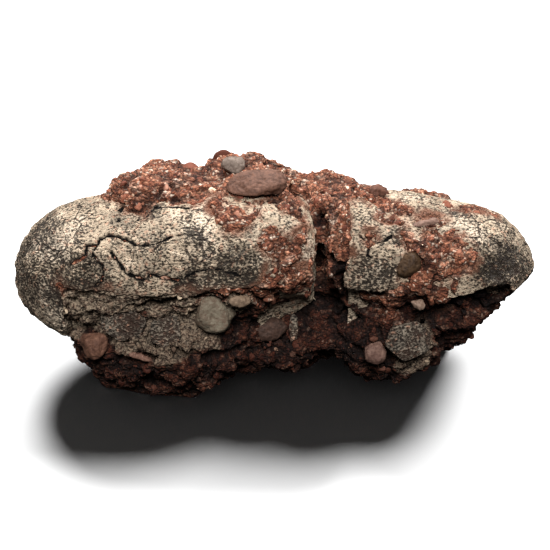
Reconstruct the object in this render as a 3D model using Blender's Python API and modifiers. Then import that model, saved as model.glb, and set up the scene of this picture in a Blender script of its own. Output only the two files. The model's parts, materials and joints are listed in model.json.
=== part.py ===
"""Two fossil dinosaur eggs lying end to end in a lump of red conglomerate.

The eggs are blunt loaves of revolution, crushed a little and broken off where they meet.
The conglomerate is a union of rounded lumps under and behind them, cut flat where it
rests. Cobbles and broken plates of eggshell sit in sockets in its surface.

Frame: +X runs along both eggs, +Z is up, and the origin is on the resting plane in the
middle of the specimen. Sizes are in millimetres, and placement() turns them to metres.
"""

import math
import random
from collections import namedtuple

import bmesh
import bpy
from mathutils import Euler, Matrix, Vector, noise
from mathutils.bvhtree import BVHTree

MM = 0.001

# Driving dimensions
FILL_INSET = 3.4
SOCKET_GAP = 0.4
MATRIX_TRIANGLES = 2000
SHARP_ANGLE = math.radians(35)

Egg = namedtuple("Egg", "length width middle turn seed")
LONG_EGG = Egg(175.0, 81.0, (-53.5, -12.0, 60.5), (0, -5.0, 1.5), 3)
SHORT_EGG = Egg(168.0, 78.0, (59.0, -8.0, 59.0), (0, 4.0, -6.0), 8)
EGG_CAP = 50.0

# Each break is a rough face through a point, and takes off all that lies beyond it that way.
Break = namedtuple("Break", "point way size")
LONG_EGG_BREAKS = (
    Break((21, 0, 60), (1, 0.1, 0), (60, 150, 150)),
    Break((-1, -39, 32), (0, -1, 0), (60, 218, 80)),
)
SHORT_EGG_BREAKS = (
    Break((40, 0, 60), (-1, 0.1, 0), (80, 150, 150)),
    Break((60, -36, 30), (0.06, -1, 0), (60, 130, 76)),
)
EGGS = (("long_egg", LONG_EGG, LONG_EGG_BREAKS), ("short_egg", SHORT_EGG, SHORT_EGG_BREAKS))
LONG_FILL_BREAK = Break((20, 0, 60), (1, 0, 0), (60, 150, 150))
SHORT_FILL_BREAK = Break((28, 0, 60), (-1, 0, 0), (80, 150, 150))
UNDERCUT = Break((119, -20, 36), (0.72, -0.45, -0.53), (80, 150, 150))

Lump = namedtuple("Lump", "middle radii turn", defaults=[(0, 0, 0)])
LUMPS = (
    Lump((-48, 2, 34), (58, 50, 36)),
    Lump((50, 8, 34), (50, 44, 35)),
    Lump((-58, 20, 67), (40, 32, 34)),
    Lump((-19, 22, 70), (38, 32, 34)),
    Lump((24, 24, 58), (40, 30, 30)),
    Lump((78, 18, 52), (46, 30, 30)),
    Lump((-28, 24, 48), (74, 31, 42), (0, 0, 4)),
    Lump((48, 22, 42), (62, 32, 34), (0, 0, -5)),
    Lump((0, 10, 28), (94, 43, 30)),
    Lump((-59, -33, 24), (54, 32, 31)),
    Lump((0, -20, 19), (44, 28, 22)),
    Lump((62, -27, 28), (33, 29, 29)),
    Lump((97, -14, 30), (18, 24, 22)),
    Lump((-58, 0, 89), (38, 26, 18)),
    Lump((-16, -8, 87), (32, 28, 19)),
    Lump((46, 0, 80), (24, 24, 20)),
    Lump((80, -30, 77), (16, 15, 15)),
    Lump((77, -39, 63), (18, 13, 14)),
    Lump((90, -32, 68), (15, 15, 15)),
)
HOLLOWS = (
    Lump((27, -48, 4), (12, 26, 20)),
    Lump((14, -46, 44), (24, 20, 15)),
    Lump((24.5, -46, 66), (4, 26, 34), (0, 6, 4)),
)

Stone = namedtuple("Stone", "name middle size turn seed flats sunk")
STONES = (
    Stone("top_cobble", (-10, -5, 109), (34, 28, 13), (14, -8, 14), 1, 9, 0.35),
    Stone("grey_pebble", (-22, 12, 110), (15, 13, 9), (20, 0, 20), 2, 6, 0.45),
    Stone("slate_sliver", (78, -21, 95), (19, 6, 4.5), (35, -12, 6), 3, 7, 0.4),
    Stone("olive_pebble", (69, -50, 91), (15, 17, 13), (50, 10, 0), 4, 8, 0.6),
    Stone("green_cobble", (-31, -52, 60), (27, 22, 16), (55, 14, 10), 5, 9, 0.45),
    Stone("oval_pebble", (-18, -50, 67), (13.5, 8, 7), (60, 10, 0), 6, 5, 0.4),
    Stone("pink_cobble", (-96, -45, 32), (19, 18, 14), (60, 0, -25), 7, 8, 0.45),
    Stone("dark_pebble", (-3.2, -38, 37), (21, 16, 12), (60, -8, 10), 8, 8, 0.45),
    Stone("rod_chip", (-71, -52, 29.5), (15, 4.5, 4), (60, 24, 0), 9, 5, 0.35),
    Stone("low_pebble", (53.5, -45, 26.5), (16, 13, 10), (60, 20, 8), 10, 7, 0.45),
    Stone("pale_pebble", (74, -42, 58), (10, 7, 6), (50, 30, 0), 11, 6, 0.4),
    Stone("brown_pebble", (54, 4, 97), (12, 9, 7), (20, 0, 10), 12, 6, 0.4),
)
Plate = namedtuple("Plate", "name middle size turn seed sunk")
PLATES = (
    Plate("shell_plate_left", (-81, -52, 52.5), (31, 27, 7), (62, 4, -12), 21, 0.3),
    Plate("shell_plate_middle", (-57, -54, 48.5), (24, 25, 7), (66, 10, 4), 22, 0.3),
    Plate("shell_plate_edge", (10, -38, 37), (7, 24, 6), (55, 8, 6), 23, 0.4),
    Plate("shell_plate_right", (70.5, -45, 35), (31, 24, 7), (62, 16, 12), 24, 0.3),
)

STONE_COLOURS = {
    "top_cobble": (0.24, 0.11, 0.08),
    "grey_pebble": (0.37, 0.26, 0.20),
    "slate_sliver": (0.23, 0.15, 0.11),
    "olive_pebble": (0.05, 0.03, 0.015),
    "green_cobble": (0.25, 0.19, 0.14),
    "oval_pebble": (0.18, 0.11, 0.07),
    "pink_cobble": (0.20, 0.10, 0.06),
    "dark_pebble": (0.06, 0.035, 0.025),
    "rod_chip": (0.15, 0.08, 0.05),
    "low_pebble": (0.16, 0.08, 0.06),
    "pale_pebble": (0.30, 0.22, 0.16),
    "brown_pebble": (0.16, 0.07, 0.05),
}
SHELL_COLOUR = (0.34, 0.28, 0.22)
DARK_SHELL_COLOUR = (0.10, 0.08, 0.06)
MATRIX_COLOUR = (0.24, 0.11, 0.07)


def clear_scene():
    for obj in list(bpy.data.objects):
        bpy.data.objects.remove(obj, do_unlink=True)


def new_collection(name):
    made = bpy.data.collections.new(name)
    bpy.context.scene.collection.children.link(made)
    return made


def stone_material(name, colour, roughness=0.9):
    """A matt stone. colour is linear red, green and blue."""
    made = bpy.data.materials.new(name)
    made.use_nodes = True
    made.diffuse_color = (*colour, 1.0)
    shader = made.node_tree.nodes["Principled BSDF"]
    shader.inputs["Base Color"].default_value = (*colour, 1.0)
    shader.inputs["Roughness"].default_value = roughness
    shader.inputs["Metallic"].default_value = 0.0
    return made


def placement(middle=(0, 0, 0), turn=(0, 0, 0), size=(1, 1, 1)):
    """The matrix that takes a shape in millimetres to its place in metres. turn is in degrees."""
    turned = Euler([math.radians(angle) for angle in turn]).to_matrix().to_4x4()
    return (
        Matrix.Diagonal((MM, MM, MM, 1.0))
        @ Matrix.Translation(middle)
        @ turned
        @ Matrix.Diagonal((*size, 1.0))
    )


def object_from(bm, name, collection):
    mesh = bpy.data.meshes.new(name)
    bm.to_mesh(mesh)
    bm.free()
    obj = bpy.data.objects.new(name, mesh)
    collection.objects.link(obj)
    return obj


def as_cutter(obj):
    obj.hide_render = True
    obj.display_type = "WIRE"
    return obj


def bake_modifiers(obj):
    """Replaces the object's mesh by what its modifiers make of it."""
    bpy.context.view_layer.update()
    graph = bpy.context.evaluated_depsgraph_get()
    mesh = bpy.data.meshes.new_from_object(obj.evaluated_get(graph))
    obj.modifiers.clear()
    obj.data = mesh


def move_along_normals(mesh, distance):
    """Moves each vertex along its normal by distance(position), both in millimetres."""
    normals = [vertex.normal.copy() for vertex in mesh.vertices]
    for vertex, normal in zip(mesh.vertices, normals):
        vertex.co += normal * (distance(vertex.co / MM) * MM)
    mesh.update()


def split_quads(mesh):
    """Fixes the way each quad bends, so that a shape and its slightly larger copy bend alike."""
    bm = bmesh.new()
    bm.from_mesh(mesh)
    bmesh.ops.triangulate(bm, faces=bm.faces, quad_method="FIXED")
    bm.to_mesh(mesh)
    bm.free()


def roughen(mesh, height, grain, seed):
    """Smooth swells and dips of the given height, a grain apart."""
    offset = Vector((17.3, 5.9, 11.1)) * seed
    move_along_normals(mesh, lambda place: height * noise.noise(place / grain + offset))


def keep_largest(mesh):
    """Drops the crumbs that a cut may leave beside the main piece."""
    bm = bmesh.new()
    bm.from_mesh(mesh)
    left = set(bm.verts)
    largest = set()
    while left:
        island = set()
        front = [left.pop()]
        while front:
            vertex = front.pop()
            island.add(vertex)
            near = {edge.other_vert(vertex) for edge in vertex.link_edges} & left
            left -= near
            front.extend(near)
        largest = max(largest, island, key=len)
    crumbs = [vertex for vertex in bm.verts if vertex not in largest]
    bmesh.ops.delete(bm, geom=crumbs, context="VERTS")
    bm.to_mesh(mesh)
    bm.free()


def combine(obj, operation, tools):
    """Joins or cuts by each tool. The MANIFOLD solver is used because EXACT leaves open edges
    where two of these rough surfaces nearly touch."""
    for tool in tools:
        boolean = obj.modifiers.new(tool.name, "BOOLEAN")
        boolean.operation = operation
        boolean.solver = "MANIFOLD"
        boolean.object = tool
    bake_modifiers(obj)
    keep_largest(obj.data)


def stone_socket(stone, cutters):
    """A copy grown by the gap that two touching pieces keep between them."""
    made = bpy.data.objects.new(stone.name + "_socket", stone.data.copy())
    cutters.objects.link(made)
    move_along_normals(made.data, lambda place: SOCKET_GAP)
    return as_cutter(made)


# Hollows

HOLLOW_HEIGHT = 4.0
HOLLOW_GRAIN = 16.0


def add_lump(bm, lump, subdivisions, gap=0.0):
    radii = [radius - gap for radius in lump.radii]
    place = placement(lump.middle, lump.turn, radii)
    bmesh.ops.create_icosphere(bm, subdivisions=subdivisions, radius=1, matrix=place)


def hollow_cutters(name, cutters, gap=0.0):
    """A rough ball for each hollow. A gap makes them smaller all round."""
    made = []
    for i, lump in enumerate(HOLLOWS):
        bm = bmesh.new()
        add_lump(bm, lump, HOLLOW_FINENESS, gap)
        obj = object_from(bm, f"{name}_hollow_{i}", cutters)
        roughen(obj.data, HOLLOW_HEIGHT, HOLLOW_GRAIN, i + 1)
        made.append(as_cutter(obj))
    return made


# The eggs

EGG_RINGS = 16
EGG_SIDES = 26
EGG_SWELL = (2.5, 36)
POLE_WELD = 0.00005


def egg_girth(egg, t, inset):
    """The radius in millimetres at t along the egg, from -1 at one pole to 1 at the +X pole."""
    from_pole = (1 - abs(t)) * egg.length / 2
    dome = (1 - max(0, 1 - from_pole / EGG_CAP) ** 2) ** 0.5
    return (egg.width / 2 - inset) * dome


def egg_solid(name, egg, collection, inset=0.0):
    """An egg turned about its long axis. inset makes it smaller all over."""
    bm = bmesh.new()
    last = None
    for ring in range(EGG_RINGS + 1):
        t = math.cos(math.pi * ring / EGG_RINGS)
        radius = egg_girth(egg, t, inset) if 0 < ring < EGG_RINGS else 0.0
        vertex = bm.verts.new(Vector((radius, 0, t * (egg.length / 2 - inset))) * MM)
        if last:
            bm.edges.new((last, vertex))
        last = vertex
    obj = object_from(bm, name, collection)
    screw = obj.modifiers.new("turned", "SCREW")
    screw.steps = screw.render_steps = EGG_SIDES
    screw.use_merge_vertices = True
    screw.merge_threshold = POLE_WELD
    bake_modifiers(obj)
    lying = Matrix.Rotation(math.radians(90), 4, "Y") @ Matrix.Diagonal((1 / MM,) * 3 + (1,))
    obj.data.transform(placement(egg.middle, egg.turn) @ lying)
    split_quads(obj.data)
    roughen(obj.data, *EGG_SWELL, egg.seed)
    return obj


BREAK_CUTS = 5
BREAK_HEIGHT = 4.0
BREAK_GRAIN = 20.0


def break_cutter(name, broken, cutters, seed, gap=0.0):
    """A rough-faced block whose near face passes through the break's point, or a gap past it."""
    bm = bmesh.new()
    bmesh.ops.create_cube(bm, size=1)
    bmesh.ops.subdivide_edges(bm, edges=bm.edges, cuts=BREAK_CUTS, use_grid_fill=True)
    obj = object_from(bm, name, cutters)
    split_quads(obj.data)
    way = Vector(broken.way).normalized()
    turn = way.to_track_quat("X", "Z").to_euler()
    middle = Vector(broken.point) + way * broken.size[0] / 2
    degrees = [math.degrees(angle) for angle in turn]
    obj.data.transform(placement(middle, degrees, [side - 2 * gap for side in broken.size]))
    roughen(obj.data, BREAK_HEIGHT, BREAK_GRAIN, seed)
    return as_cutter(obj)


def broken_egg(name, egg, breaks, collection, cutters, gap=0.0):
    """An egg with its breaks and hollows. A gap makes it larger all round, to cut its socket."""
    obj = egg_solid(name, egg, collection, -gap)
    tools = [
        break_cutter(f"{name}_break_{i}", broken, cutters, i + 1, gap)
        for i, broken in enumerate((*breaks, UNDERCUT))
    ]
    combine(obj, "DIFFERENCE", [*tools, *hollow_cutters(name, cutters, gap)])
    obj.data.materials.append(stone_material("eggshell", SHELL_COLOUR))
    return obj


# The conglomerate

REMESH_VOXEL = 0.0025
MATRIX_ROUGHNESS = ((6, 38, 2), (3.5, 15, 4), (1.5, 6, 6))
BELOW_REST = ((0, 0, -50), (400, 300, 100))
LUMP_FINENESS = 4
HOLLOW_FINENESS = 2


def make_fill(name, egg, broken, cutters):
    """The sediment that an egg is filled with, as far as it goes before the break."""
    fill = as_cutter(egg_solid(name, egg, cutters, FILL_INSET))
    combine(fill, "DIFFERENCE", [break_cutter(name + "_end", broken, cutters, 5)])
    return fill


def make_matrix(parts, cutters):
    bm = bmesh.new()
    for lump in LUMPS:
        add_lump(bm, lump, LUMP_FINENESS)
    bm.from_mesh(make_fill("long_fill", LONG_EGG, LONG_FILL_BREAK, cutters).data)
    bm.from_mesh(make_fill("short_fill", SHORT_EGG, SHORT_FILL_BREAK, cutters).data)
    matrix = object_from(bm, "matrix", parts)
    remesh = matrix.modifiers.new("joined", "REMESH")
    remesh.mode = "VOXEL"
    remesh.voxel_size = REMESH_VOXEL
    bake_modifiers(matrix)
    for height, grain, seed in MATRIX_ROUGHNESS:
        roughen(matrix.data, height, grain, seed)
    decimate = matrix.modifiers.new("fewer", "DECIMATE")
    decimate.ratio = MATRIX_TRIANGLES / (2 * len(matrix.data.polygons))
    bake_modifiers(matrix)

    bm = bmesh.new()
    middle, size = BELOW_REST
    bmesh.ops.create_cube(bm, size=1, matrix=placement(middle, size=size))
    floor = as_cutter(object_from(bm, "resting_plane", cutters))
    undercut = break_cutter("undercut", UNDERCUT, cutters, 3)
    combine(matrix, "DIFFERENCE", [floor, undercut, *hollow_cutters("matrix", cutters)])
    matrix.data.materials.append(stone_material("red_conglomerate", MATRIX_COLOUR))
    return matrix


# Cobbles and shell plates

PRESSED_FROM = Vector((0, -0.77, 0.64))
REACH = 60.0
LARGE_STONE = 25.0
FLAT_DEPTHS = (0.62, 0.86)
SLAB_SIDES = 6
SLAB_HALF_THICKNESS = 0.45
SLAB_SIDE_DEPTHS = (0.6, 0.85)
SLAB_BOW = 0.5


def faceted(bm, flats, rng):
    """Presses random flat faces into a unit ball, as a worn broken stone has."""
    for _ in range(flats):
        way = Vector([rng.gauss(0, 1) for _ in range(3)]).normalized()
        press(bm, way, rng.uniform(*FLAT_DEPTHS))


def press(bm, way, depth):
    """Flattens all that stands out beyond that depth from the middle, measured that way."""
    for vertex in bm.verts:
        beyond = vertex.co.dot(way) - depth
        if beyond > 0:
            vertex.co -= way * beyond


def slab(bm, rng):
    """Makes a unit ball a thin slab with a broken outline, bowed as eggshell is."""
    for way in (Vector((0, 0, 1)), Vector((0, 0, -1))):
        press(bm, way, SLAB_HALF_THICKNESS)
    for side in range(SLAB_SIDES):
        angle = math.tau * (side + rng.uniform(-0.25, 0.25)) / SLAB_SIDES
        way = Vector((math.cos(angle), math.sin(angle), 0))
        press(bm, way, rng.uniform(*SLAB_SIDE_DEPTHS))
    for vertex in bm.verts:
        vertex.co.z -= SLAB_BOW * vertex.co.xy.length_squared


def seated(middle, thickness, sunk, rock):
    """Slides middle in from the front and above until it is sunk into the rock's surface. One
    that would pass behind the rock goes to the nearest point of its surface."""
    start = Vector(middle) + PRESSED_FROM * REACH
    hit = rock.ray_cast(start * MM, -PRESSED_FROM)[0]
    if hit is None:
        hit = rock.find_nearest(Vector(middle) * MM)[0]
    return hit / MM + PRESSED_FROM * thickness * (0.5 - sunk)


def make_stone(stone, rock, parts):
    rng = random.Random(stone.seed)
    bm = bmesh.new()
    large = max(stone.size) > LARGE_STONE
    bmesh.ops.create_icosphere(bm, subdivisions=3 if large else 2, radius=1)
    if isinstance(stone, Plate):
        slab(bm, rng)
    else:
        faceted(bm, stone.flats, rng)
    radii = [side / 2 for side in stone.size]
    middle = seated(stone.middle, stone.size[2], stone.sunk, rock)
    bm.transform(placement(middle, stone.turn, radii))
    return object_from(bm, stone.name, parts)


def make_stones(rock, egg_sockets, parts):
    made = []
    for stone in (*STONES, *PLATES):
        obj = make_stone(stone, rock, parts)
        combine(obj, "DIFFERENCE", egg_sockets)
        colour = STONE_COLOURS.get(stone.name, DARK_SHELL_COLOUR)
        obj.data.materials.append(stone_material(stone.name, colour))
        made.append(obj)
    return made


def rock_surface(objects):
    """All the objects' faces in one search tree."""
    bm = bmesh.new()
    for obj in objects:
        bm.from_mesh(obj.data)
    tree = BVHTree.FromBMesh(bm)
    bm.free()
    return tree


def centre(objects):
    """Moves everything alike, so that the origin is under the middle of the specimen."""
    corners = [vertex.co for obj in objects for vertex in obj.data.vertices]
    middle = [(min(c[i] for c in corners) + max(c[i] for c in corners)) / 2 for i in (0, 1)]
    for obj in bpy.data.objects:
        obj.data.transform(Matrix.Translation((-middle[0], -middle[1], 0)))


def main():
    clear_scene()
    parts = new_collection("fossil_eggs")
    cutters = new_collection("cutters")
    eggs, egg_sockets = [], []
    for name, egg, breaks in EGGS:
        eggs.append(broken_egg(name, egg, breaks, parts, cutters))
        socket = broken_egg(name + "_socket", egg, breaks, cutters, cutters, SOCKET_GAP)
        egg_sockets.append(as_cutter(socket))
    matrix = make_matrix(parts, cutters)
    stones = make_stones(rock_surface([matrix, *eggs]), egg_sockets, parts)
    stone_sockets = [stone_socket(stone, cutters) for stone in stones]
    combine(matrix, "DIFFERENCE", [*egg_sockets, *stone_sockets])
    centre([matrix, *eggs, *stones])
    for obj in (matrix, *eggs, *stones):
        obj.data.shade_smooth()
        obj.data.set_sharp_from_angle(angle=SHARP_ANGLE)


main()
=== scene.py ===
import json
import math
from collections import namedtuple

import bmesh
import bpy
import numpy as np
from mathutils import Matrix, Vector, noise
from mathutils.bvhtree import BVHTree

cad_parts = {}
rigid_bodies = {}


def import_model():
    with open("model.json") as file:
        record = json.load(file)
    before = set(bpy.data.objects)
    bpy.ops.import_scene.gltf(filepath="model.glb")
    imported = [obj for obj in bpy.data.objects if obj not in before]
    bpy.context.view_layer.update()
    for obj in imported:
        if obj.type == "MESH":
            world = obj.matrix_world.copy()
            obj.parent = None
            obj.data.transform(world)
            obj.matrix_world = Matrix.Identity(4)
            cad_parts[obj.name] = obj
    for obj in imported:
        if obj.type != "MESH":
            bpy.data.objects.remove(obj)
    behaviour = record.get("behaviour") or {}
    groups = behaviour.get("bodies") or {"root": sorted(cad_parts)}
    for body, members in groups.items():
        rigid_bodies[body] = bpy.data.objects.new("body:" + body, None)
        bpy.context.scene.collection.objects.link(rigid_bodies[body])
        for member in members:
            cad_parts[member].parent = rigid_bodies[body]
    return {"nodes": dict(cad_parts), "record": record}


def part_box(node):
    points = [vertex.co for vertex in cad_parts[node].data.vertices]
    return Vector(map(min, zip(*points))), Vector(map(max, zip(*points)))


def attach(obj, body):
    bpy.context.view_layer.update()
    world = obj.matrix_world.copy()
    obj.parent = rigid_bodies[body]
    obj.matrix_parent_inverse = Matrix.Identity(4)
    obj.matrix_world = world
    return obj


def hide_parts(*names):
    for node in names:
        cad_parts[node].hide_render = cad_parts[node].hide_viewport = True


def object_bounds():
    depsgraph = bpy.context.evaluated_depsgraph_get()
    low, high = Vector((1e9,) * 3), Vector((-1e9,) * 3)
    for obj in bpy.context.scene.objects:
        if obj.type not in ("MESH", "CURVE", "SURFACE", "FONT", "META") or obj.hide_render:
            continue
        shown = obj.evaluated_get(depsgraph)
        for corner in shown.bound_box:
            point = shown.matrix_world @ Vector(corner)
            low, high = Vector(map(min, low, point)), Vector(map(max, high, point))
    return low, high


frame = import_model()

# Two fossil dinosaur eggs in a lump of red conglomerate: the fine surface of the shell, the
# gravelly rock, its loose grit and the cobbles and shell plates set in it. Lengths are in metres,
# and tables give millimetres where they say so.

MM = 0.001
WELD = 0.000001
CAD_LOW, CAD_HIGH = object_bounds()
MIDDLE = (CAD_LOW + CAD_HIGH) / 2
SLOTS = {part["node"]: part["material_slot"] for part in frame["record"]["subparts"]}


# Small tools

def linear(code):
    """An sRGB hex colour as linear red, green, blue and alpha."""
    parts = [int(code[i:i + 2], 16) / 255 for i in (1, 3, 5)]
    return (*(c / 12.92 if c <= 0.04045 else ((c + 0.055) / 1.055) ** 2.4 for c in parts), 1.0)


def across(millimetres):
    """The Scale that makes one cell or wave of a texture this many millimetres across."""
    return 1 / (millimetres * MM)


def node(tree, kind, inputs=None, stops=(), **settings):
    """Adds one node with its settings and links. inputs gives, by input name or number, a value, an
    output, or a node whose first output is taken. stops gives a ramp's positions and colours."""
    made = tree.nodes.new(kind)
    for name, value in settings.items():
        setattr(made, name, value)
    for key, value in (inputs or {}).items():
        source = value.outputs[0] if isinstance(value, bpy.types.Node) else value
        if isinstance(source, bpy.types.NodeSocket):
            tree.links.new(source, made.inputs[key])
        else:
            made.inputs[key].default_value = source
    for i, (position, code) in enumerate(stops):
        ramp = made.color_ramp.elements
        stop = ramp[i] if i < len(ramp) else ramp.new(position)
        stop.position = position
        stop.color = linear(code)
    return made


def bake_modifiers(obj):
    """Replaces the object's mesh by what its modifiers make of it."""
    bpy.context.view_layer.update()
    graph = bpy.context.evaluated_depsgraph_get()
    mesh = bpy.data.meshes.new_from_object(
        obj.evaluated_get(graph), preserve_all_data_layers=True, depsgraph=graph
    )
    obj.modifiers.clear()
    old = obj.data
    obj.data = mesh
    bpy.data.meshes.remove(old)
    mesh.name = obj.name


def object_of(mesh, name):
    """A new object in the scene, at the origin, with that mesh."""
    obj = bpy.data.objects.new(name, mesh)
    bpy.context.scene.collection.objects.link(obj)
    return obj


def copy_of_nodes(name, *node_names):
    """One object holding copies of those CAD nodes, their loose triangles joined up."""
    bm = bmesh.new()
    for node_name in node_names:
        bm.from_mesh(frame["nodes"][node_name].data)
    bmesh.ops.remove_doubles(bm, verts=bm.verts, dist=WELD)
    mesh = bpy.data.meshes.new(name)
    bm.to_mesh(mesh)
    bm.free()
    return object_of(mesh, name)


def remesh(obj, voxel, smoothing):
    """An even mesh of voxel-sized squares, its flat facets smoothed away."""
    even = obj.modifiers.new("even", "REMESH")
    even.mode = "VOXEL"
    even.voxel_size = voxel
    smooth = obj.modifiers.new("smooth", "SMOOTH")
    smooth.iterations = smoothing
    bake_modifiers(obj)


def keep_largest(obj):
    """Drops the closed-in pockets that are left where two solids were joined."""
    bm = bmesh.new()
    bm.from_mesh(obj.data)
    left = set(bm.verts)
    largest = set()
    while left:
        island = set()
        front = [left.pop()]
        while front:
            vertex = front.pop()
            island.add(vertex)
            near = {edge.other_vert(vertex) for edge in vertex.link_edges} & left
            left -= near
            front.extend(near)
        largest = max(largest, island, key=len)
    crumbs = [vertex for vertex in bm.verts if vertex not in largest]
    bmesh.ops.delete(bm, geom=crumbs, context="VERTS")
    bm.to_mesh(obj.data)
    bm.free()


def points_of(obj, kind="co"):
    """The vertices' places, or their normals, as rows of three numbers."""
    flat = np.empty(len(obj.data.vertices) * 3, np.float32)
    obj.data.vertices.foreach_get(kind, flat)
    return flat.reshape(-1, 3).astype(float)


def push(obj, distance):
    """Moves each vertex along its normal by its own distance."""
    moved = points_of(obj) + points_of(obj, "normal") * distance[:, None]
    obj.data.vertices.foreach_set("co", moved.astype(np.float32).ravel())
    obj.data.update()


def store(obj, name, values):
    """Keeps one number a vertex, for a material or a tree to read."""
    made = obj.data.attributes.new(name, "FLOAT", "POINT")
    made.data.foreach_set("value", values.astype(np.float32))


def step(values, low, high):
    """0 below low, 1 above high, and a smooth rise between."""
    t = np.clip((values - low) / (high - low), 0, 1)
    return t * t * (3 - 2 * t)


def ripple(points, grain, seed):
    """Smooth noise from about -1 to 1 at each point, its waves a grain across."""
    offset = Vector((13.1, 7.7, 3.3)) * seed
    return np.array([noise.noise(Vector(p) / grain + offset) for p in points])


def distance_to(tree, points):
    """Each point's distance from the surface held in the tree."""
    return np.array([tree.find_nearest(Vector(p))[3] for p in points])


def near_line(points, line):
    """Each point's distance from a line of straight pieces."""
    nearest = np.full(len(points), np.inf)
    for a, b in zip(line, line[1:]):
        t = np.clip((points - a) @ (b - a) / ((b - a) @ (b - a)), 0, 1)
        nearest = np.minimum(nearest, np.linalg.norm(points - a - t[:, None] * (b - a), axis=1))
    return nearest


# The eggs' own coordinates: millimetres from the tip at -X, and degrees round from the top
# towards the front.

Egg = namedtuple("Egg", "node middle_y middle_z start tree")


def egg_of(node_name):
    """The egg's axis, start and surface, taken from its node."""
    obj = copy_of_nodes(node_name + "_guide", node_name)
    tree = BVHTree.FromObject(obj, bpy.context.evaluated_depsgraph_get())
    low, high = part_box(node_name)
    bpy.data.objects.remove(obj)
    return Egg(node_name, (low.y + high.y) / 2, (low.z + high.z) / 2, low.x, tree)


OUTSIDE = 200 * MM


def on_egg(egg, along, degrees):
    """The point of the shell at that distance and angle."""
    axis = Vector((egg.start + along * MM, egg.middle_y, egg.middle_z))
    way = Vector((0, -math.sin(math.radians(degrees)), math.cos(math.radians(degrees))))
    hit = egg.tree.ray_cast(axis + way * OUTSIDE, -way)[0]
    return np.array(hit if hit else axis)


LONG_EGG = egg_of("long_egg")
SHORT_EGG = egg_of("short_egg")
EGGS = {"long_egg": LONG_EGG, "short_egg": SHORT_EGG}

# Each crack is a line of (along, degrees) on its egg, with its width and depth in mm.
Crack = namedtuple("Crack", "egg width depth line")
CRACKS = (
    Crack(LONG_EGG, 1.2, 2.6, ((36, 51), (44, 45), (44.5, 37), (50, 36), (50.5, 32), (55, 28),
                               (61, 30), (65, 33))),
    Crack(LONG_EGG, 1.1, 2.2, ((47.5, 44), (52.5, 53), (53, 58), (52, 66), (48, 71))),
    Crack(LONG_EGG, 1.1, 2.2, ((57, 42), (61.5, 51), (64.5, 58), (74, 63), (79, 59), (83, 61),
                               (92, 63))),
    Crack(LONG_EGG, 0.9, 1.5, ((60, 2), (63, -4), (71, 0), (79, 4), (88, 5), (97, 8))),
    Crack(LONG_EGG, 0.8, 1.2, ((63, -4), (60.5, 8), (60, 14))),
    Crack(LONG_EGG, 0.8, 1.2, ((79, 4), (75, 12), (69, 17))),
    Crack(LONG_EGG, 0.8, 1.1, ((50, 36), (47, 44), (46, 52))),
    Crack(LONG_EGG, 0.8, 1.1, ((65, 33), (71, 38), (80, 37), (88, 32))),
    Crack(LONG_EGG, 0.8, 1.1, ((92, 63), (101, 57), (112, 55), (124, 60))),
    Crack(SHORT_EGG, 0.8, 1.1, ((9, 32), (14, 38), (13, 47), (18, 52))),
    Crack(SHORT_EGG, 0.8, 1.1, ((14, 38), (21, 36), (26, 30))),
)
CRACK_WOBBLE = 0.9 * MM
# The cracks' unevenness: each ripple's grain in mm, share and seed.
WOBBLE_GRAINS = ((4, 1.0, 5), (1.8, 0.6, 8))


def crack_field(egg, points):
    """How far inside a crack each point is, from 0 outside to 1 in the middle, and its depth."""
    inside = np.zeros(len(points))
    depth = np.zeros(len(points))
    wobble = np.zeros(len(points))
    for grain, share, seed in WOBBLE_GRAINS:
        wobble += CRACK_WOBBLE * share * ripple(points, grain * MM, seed)
    for crack in CRACKS:
        if crack.egg is not egg:
            continue
        line = [on_egg(egg, *place) for place in crack.line]
        away = np.abs(near_line(points, line) + wobble)
        near = 1 - step(away, 0.2 * crack.width * MM, crack.width * MM)
        inside = np.maximum(inside, near)
        depth = np.maximum(depth, near * crack.depth * MM)
    return inside, depth


# Clefts in the rock, each along a line of points, with its width and depth, all in mm.
Cleft = namedtuple("Cleft", "width depth line")
CLEFTS = (
    Cleft(4.2, 9, ((14, 20, 90), (17, 7, 93), (20, -4, 92), (23, -16, 87), (26, -24, 80),
                   (32, -32, 76), (36, -37, 70), (38, -35, 58))),
    Cleft(1.8, 5, ((35, -8, 92), (36, -22, 86), (37, -34, 76), (38, -38, 66), (38, -36, 56))),
    Cleft(2.4, 6, ((23, -16, 87), (18, -26, 85), (16, -31, 81))),
    Cleft(6.0, 12, ((3, -40, 58), (14, -30, 50), (24, -26, 48), (32, -34, 56))),
    Cleft(2.4, 5, ((-74, -43, 63), (-63, -43, 62), (-48, -46, 68), (-31, -48, 70), (-16, -46, 68),
                   (3, -40, 62))),
    Cleft(2.4, 5, ((-108, -37, 45), (-95, -50, 34), (-80, -54, 33), (-64, -56, 36))),
    Cleft(2.2, 4, ((-55, -56, 42), (-39, -56, 36), (-21, -50, 33), (-8, -40, 30))),
    Cleft(2.6, 5, ((41, -36, 56), (53, -38, 52), (65, -45, 60), (80, -48, 62), (96, -44, 64),
                   (114, -38, 66))),
    Cleft(8.0, 7, ((7, -47, 51), (16, -43, 44), (26, -37, 40), (33, -35, 47))),
    Cleft(10.5, 10, ((72, -47, 57), (88, -45, 57), (104, -40, 59), (113, -36, 62))),
    Cleft(2.4, 4, ((40, -46, 33), (55, -53, 33), (76, -51, 29), (89, -38, 30))),
    Cleft(1.8, 3, ((-34, 26, 106), (-22, 20, 109), (-9, 30, 104), (8, 35, 94))),
    Cleft(1.8, 3, ((-52, 6, 105), (-40, 3, 103), (-28, 0, 104), (-14, -14, 103))),
)
CLEFT_WOBBLE = 2.2 * MM


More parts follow.
